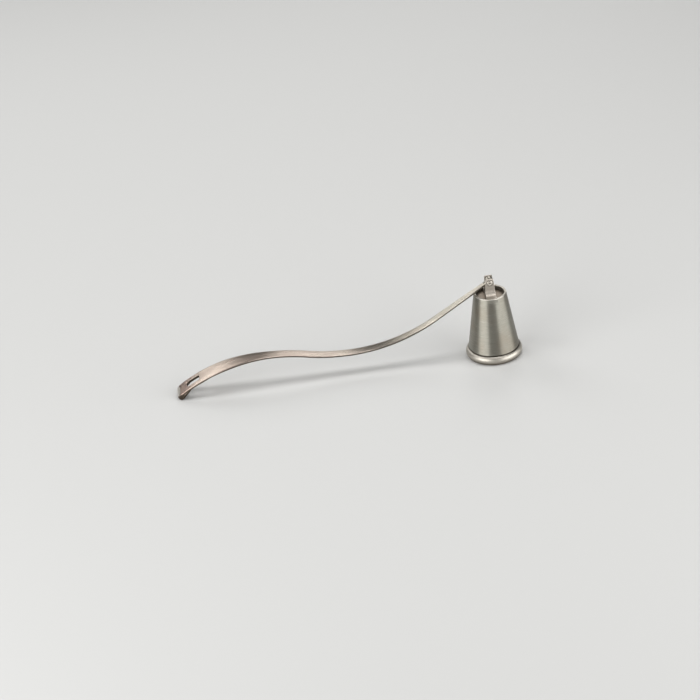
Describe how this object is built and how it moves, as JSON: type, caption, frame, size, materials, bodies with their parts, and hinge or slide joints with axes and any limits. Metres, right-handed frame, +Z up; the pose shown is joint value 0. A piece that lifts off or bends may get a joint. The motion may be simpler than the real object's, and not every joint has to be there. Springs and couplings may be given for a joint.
{
  "type": "candle snuffer",
  "caption": "Candle snuffer: a cone-shaped metal bell with a rounded mouth ring, hinged by a riveted yoke to a long bowed strip handle with a slotted paddle end.",
  "frame": {"origin": "on the table, under the middle of the whole length, with the bell standing on its mouth and the handle's tip resting on the table", "axes": "+Z up, +X from the handle's tip towards the bell, +Y along the hinge pin"},
  "size_m": [0.198, 0.032, 0.049],
  "materials": {
    "bell_metal": "brushed round the axis, warm grey",
    "ring_metal": "smooth satin, warm grey",
    "crown_metal": "dull, as pressed",
    "yoke_metal": "satin, warm grey",
    "pin_metal": "satin",
    "handle_metal": "brushed along its length, warm grey"
  },
  "bodies": {
    "bell": {"bell_cone": "bell_metal", "mouth_ring": "ring_metal", "crown_disc": "crown_metal", "yoke": "yoke_metal", "hinge_pin": "pin_metal"},
    "handle": {"handle": "handle_metal"}
  },
  "joints": [
    {"name": "handle_hinge", "type": "hinge", "parent": "bell", "child": "handle", "pos_m": [0.083, 0, 0.04651], "axis": [0, 1, 0], "range_deg": [-2, 245]}
  ]
}
